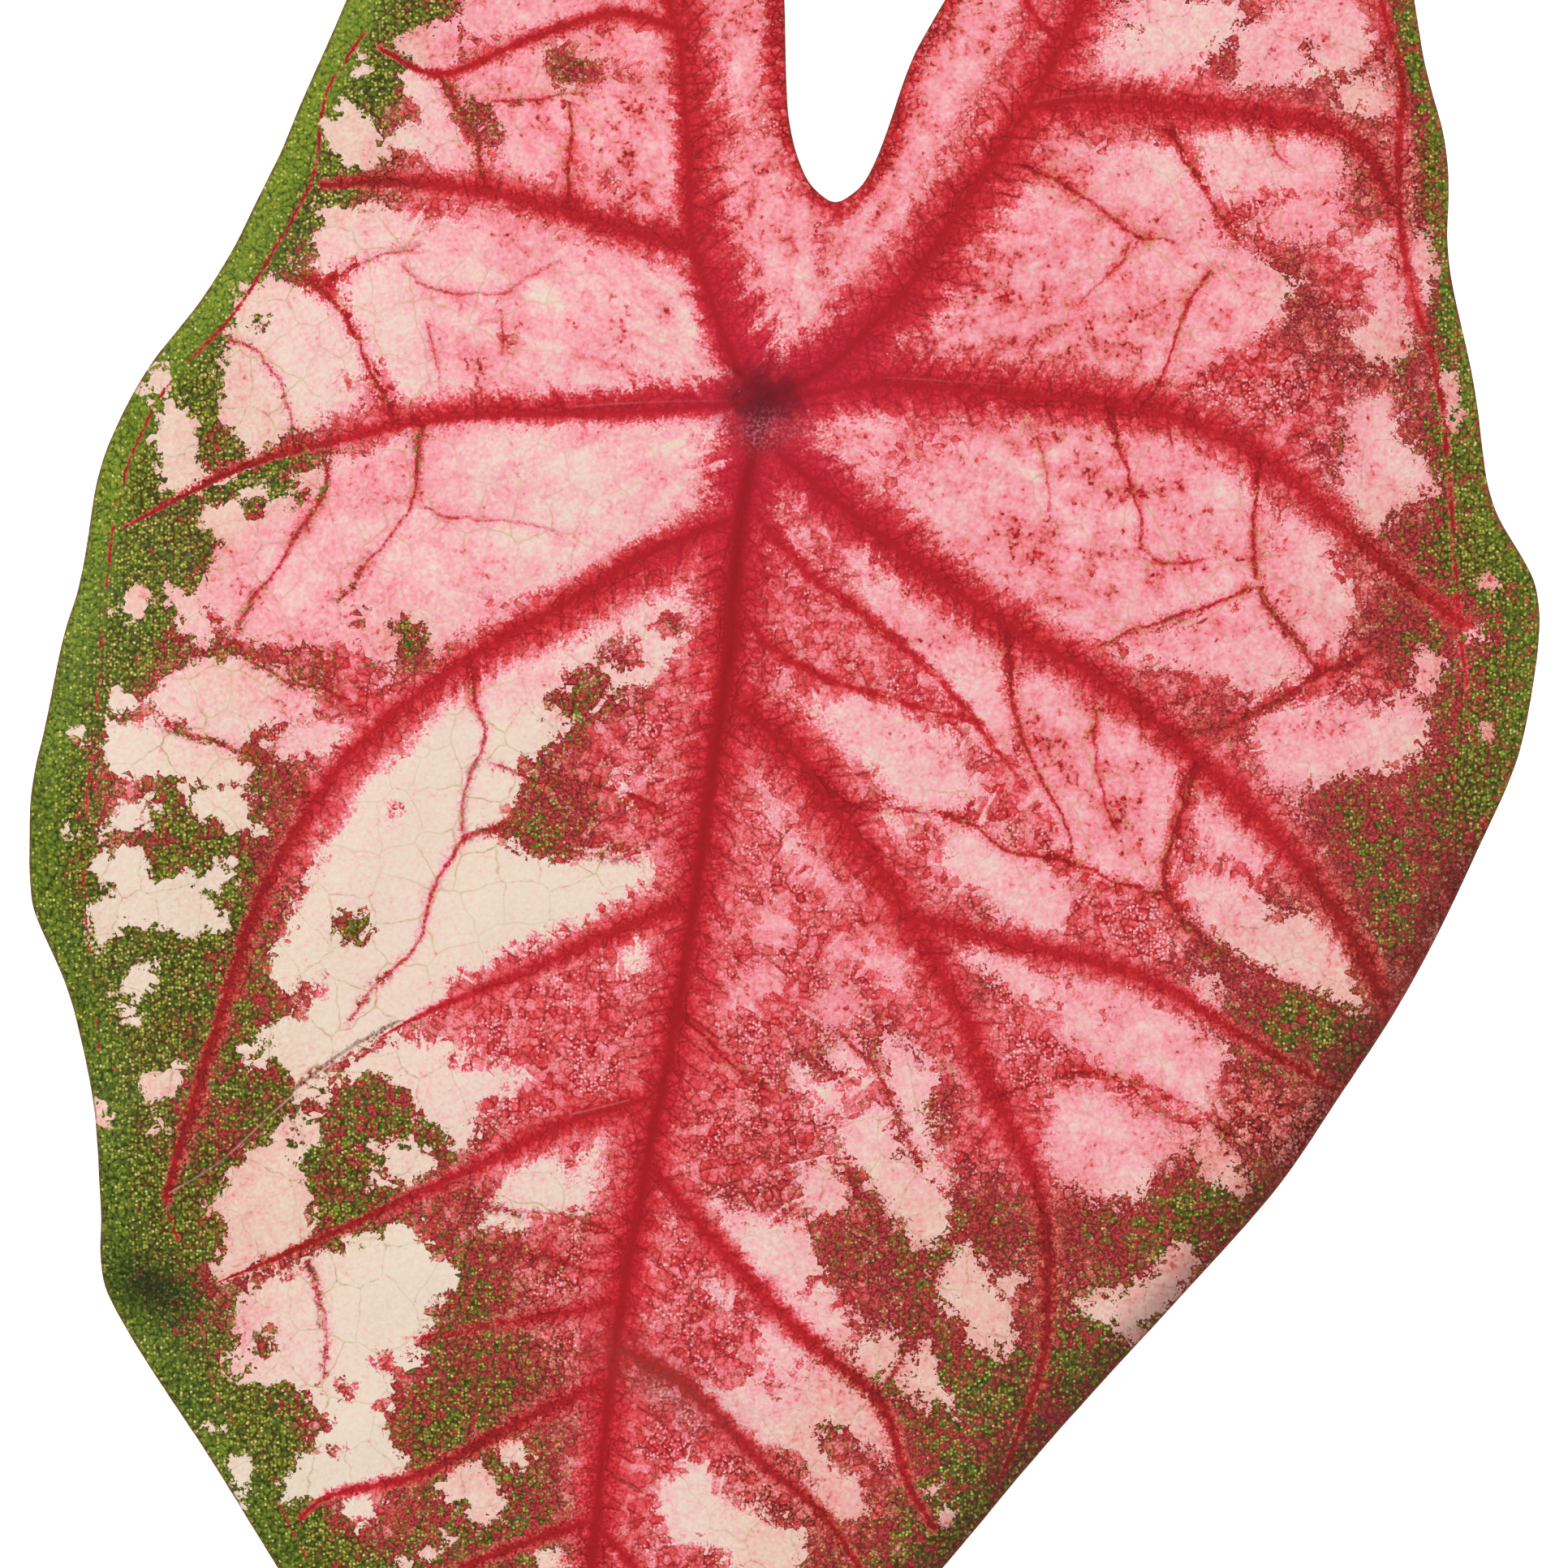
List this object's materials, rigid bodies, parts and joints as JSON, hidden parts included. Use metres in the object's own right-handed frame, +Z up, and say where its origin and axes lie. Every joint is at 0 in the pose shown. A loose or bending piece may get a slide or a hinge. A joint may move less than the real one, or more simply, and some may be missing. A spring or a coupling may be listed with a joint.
{
  "type": "caladium leaf",
  "caption": "Heart-shaped caladium leaf, picked, with waved margins, ribs raised underneath and a short cut stalk, lying upper side up.",
  "frame": {"origin": "on the surface the leaf lies on, under the middle of its box", "axes": "+Y from the tip towards the back lobes, +Z up out of the surface, +X to the right of the upper side"},
  "size_m": [0.186, 0.2904, 0.0193],
  "materials": {
    "leaf_blade": "soft satin",
    "leaf_stalk": "satin"
  },
  "bodies": {
    "root": {"blade": "leaf_blade", "petiole": "leaf_stalk"}
  },
  "joints": []
}
